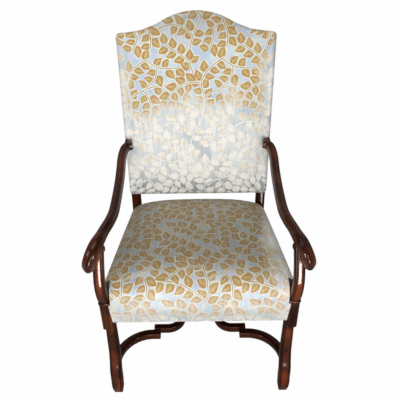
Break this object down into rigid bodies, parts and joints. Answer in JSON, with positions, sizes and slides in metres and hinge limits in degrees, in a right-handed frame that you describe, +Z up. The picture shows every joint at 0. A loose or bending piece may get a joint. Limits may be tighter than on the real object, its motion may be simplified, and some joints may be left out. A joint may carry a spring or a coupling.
{
  "type": "upholstered armchair",
  "caption": "Tall-backed armchair with padded seat and humped back panel, carved scrolled arms and legs in dark wood, and a low scrolled stretcher between the legs.",
  "frame": {"origin": "middle of the chair's bounding box in plan, at floor level under the glides", "axes": "+X towards the sitter's left, +Y towards the back, +Z up"},
  "size_m": [0.6656, 0.7298, 1.1742],
  "materials": {
    "carved_wood": "dark red-brown stain under glossy varnish",
    "frame_wood": "sawn pale beech, unfinished",
    "cover_fabric": "satin weave, silver-blue ground with ochre leaves",
    "padding": "calico over fibre stuffing",
    "webbing": "jute webbing",
    "dust_cloth": "thin dark cotton",
    "screw_steel": "plain steel",
    "glide_felt": "pale pressed felt"
  },
  "bodies": {
    "root": {"front_leg_left": "carved_wood", "front_leg_right": "carved_wood", "rear_leg_left": "carved_wood", "rear_leg_right": "carved_wood", "arm_left": "carved_wood", "arm_right": "carved_wood", "arm_support_left": "carved_wood", "arm_support_right": "carved_wood", "arm_block_left": "carved_wood", "arm_block_right": "carved_wood", "front_scroll_left": "carved_wood", "front_scroll_right": "carved_wood", "rear_scroll_left": "carved_wood", "rear_scroll_right": "carved_wood", "bracket_left": "carved_wood", "bracket_right": "carved_wood", "cross_bar": "carved_wood", "front_seat_rail": "frame_wood", "rear_seat_rail": "frame_wood", "back_crest_rail": "frame_wood", "back_foot_rail": "frame_wood", "side_seat_rail_left": "frame_wood", "side_seat_rail_right": "frame_wood", "front_corner_block_left": "frame_wood", "front_corner_block_right": "frame_wood", "rear_corner_block_left": "frame_wood", "rear_corner_block_right": "frame_wood", "post_dowel_left": "frame_wood", "post_dowel_right": "frame_wood", "arm_dowel_left": "frame_wood", "arm_dowel_right": "frame_wood", "front_scroll_dowel_left": "frame_wood", "front_scroll_dowel_right": "frame_wood", "rear_scroll_dowel_left": "frame_wood", "rear_scroll_dowel_right": "frame_wood", "front_lap_dowel_left": "frame_wood", "front_lap_dowel_right": "frame_wood", "rear_lap_dowel_left": "frame_wood", "rear_lap_dowel_right": "frame_wood", "arm_screw_left": "screw_steel", "arm_screw_right": "screw_steel", "front_corner_screw_left": "screw_steel", "front_corner_screw_right": "screw_steel", "rear_corner_screw_left": "screw_steel", "rear_corner_screw_right": "screw_steel", "front_glide_left": "glide_felt", "front_glide_right": "glide_felt", "rear_glide_left": "glide_felt", "rear_glide_right": "glide_felt", "seat_cover": "cover_fabric", "back_cover": "cover_fabric", "outside_back": "cover_fabric", "seat_pad": "padding", "back_pad": "padding", "seat_webbing": "webbing", "back_webbing": "webbing", "dust_cover": "dust_cloth"}
  },
  "joints": []
}
